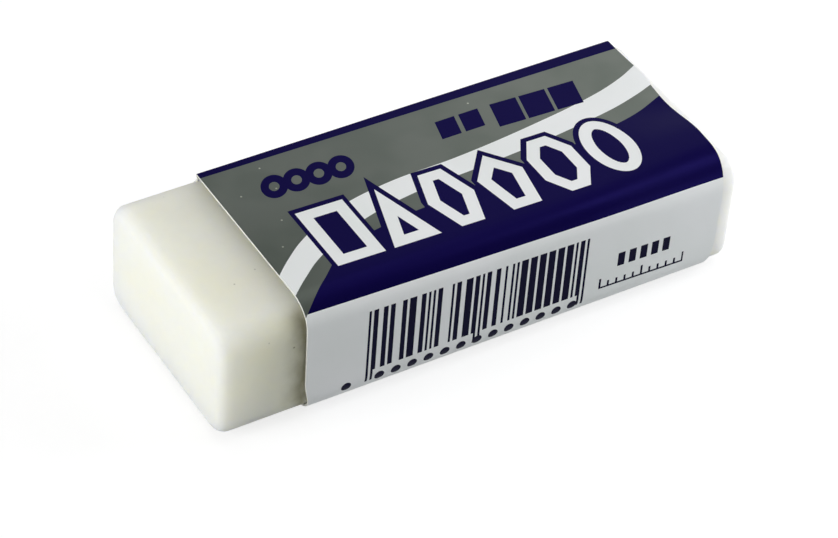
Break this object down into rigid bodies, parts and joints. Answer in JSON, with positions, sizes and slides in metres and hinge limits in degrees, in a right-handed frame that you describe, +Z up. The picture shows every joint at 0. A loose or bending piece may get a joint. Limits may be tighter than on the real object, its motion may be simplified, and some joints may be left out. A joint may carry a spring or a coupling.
{
  "type": "rubber eraser",
  "caption": "Rectangular white rubber eraser with round long edges, in a folded card sleeve that slides along it and pulls off.",
  "frame": {"origin": "on the bench under the middle of the whole eraser's box", "axes": "+X along the block away from its bare rubbing end, +Y from the pale front panel to the glued back, +Z up"},
  "size_m": [0.0584, 0.0244, 0.0143],
  "materials": {
    "white_rubber": "smooth matte white rubber, slightly translucent",
    "printed_card": "thin white card printed in navy, silver grey and white under a gloss varnish"
  },
  "bodies": {
    "block": {"eraser_block": "white_rubber"},
    "sleeve": {"card_sleeve": "printed_card"}
  },
  "joints": [
    {"name": "sleeve_slide", "type": "slide", "parent": "block", "child": "sleeve", "axis": [1, 0, 0], "range_m": [-0.0086, 0.0501]}
  ]
}
